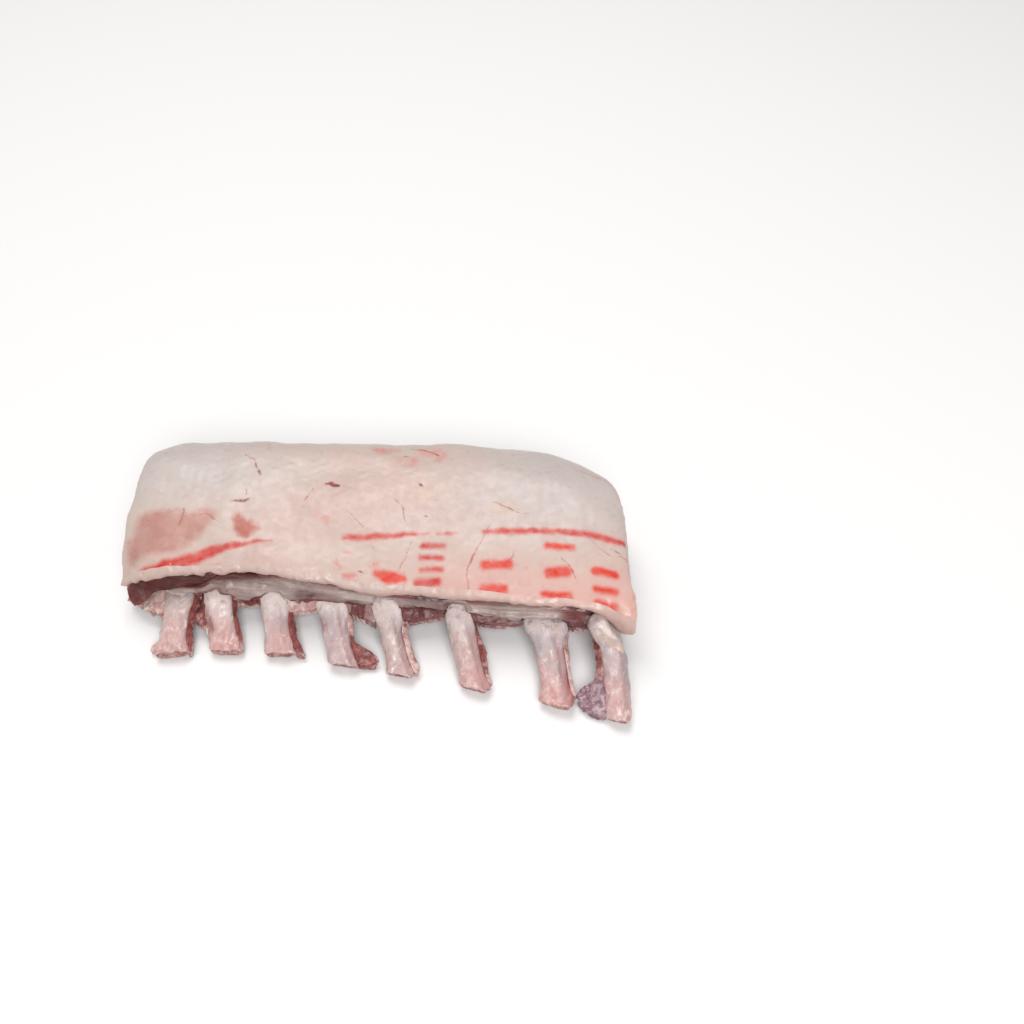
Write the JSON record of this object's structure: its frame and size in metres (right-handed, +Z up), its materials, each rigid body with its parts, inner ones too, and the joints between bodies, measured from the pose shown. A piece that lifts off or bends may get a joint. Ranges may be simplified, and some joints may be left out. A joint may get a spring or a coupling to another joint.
{
  "type": "rack of lamb",
  "caption": "Raw frenched rack of lamb lying fat side up: a long loaf of meat under a pale fat cap, with bared, curved rib ends along its front.",
  "frame": {"origin": "middle of the footprint, on the surface the rack lies on", "axes": "+X along the backbone edge from the shoulder end to the loin end, +Y back towards the backbone edge with the bared ribs at -Y, +Z up through the fat cap"},
  "size_m": [0.2372, 0.1226, 0.0466],
  "materials": {
    "fat": "satin",
    "dark_meat": "moist satin",
    "rib_meat": "moist satin",
    "membrane": "moist satin",
    "bone": "satin"
  },
  "bodies": {
    "root": {"fat_cap": "fat", "eye_muscle": "dark_meat", "cap_muscle": "dark_meat", "rib_cover": "membrane", "rib_1": "bone", "rib_2": "bone", "rib_3": "bone", "rib_4": "bone", "rib_5": "bone", "rib_6": "bone", "rib_7": "bone", "rib_8": "bone", "between_ribs_0": "rib_meat", "between_ribs_1": "rib_meat", "between_ribs_2": "rib_meat", "between_ribs_3": "rib_meat", "between_ribs_4": "rib_meat", "between_ribs_5": "rib_meat", "between_ribs_6": "rib_meat", "between_ribs_7": "rib_meat", "between_ribs_8": "rib_meat", "rib_1_scrap_shoulder_side": "rib_meat", "rib_1_scrap_loin_side": "rib_meat", "rib_2_scrap_shoulder_side": "rib_meat", "rib_2_scrap_loin_side": "rib_meat", "rib_3_scrap_loin_side": "rib_meat", "rib_4_scrap_loin_side": "rib_meat", "rib_5_scrap_loin_side": "rib_meat", "rib_6_scrap_loin_side": "rib_meat", "rib_7_scrap_loin_side": "rib_meat", "rib_8_scrap_shoulder_side": "rib_meat", "sinew_strap": "membrane"}
  },
  "joints": []
}
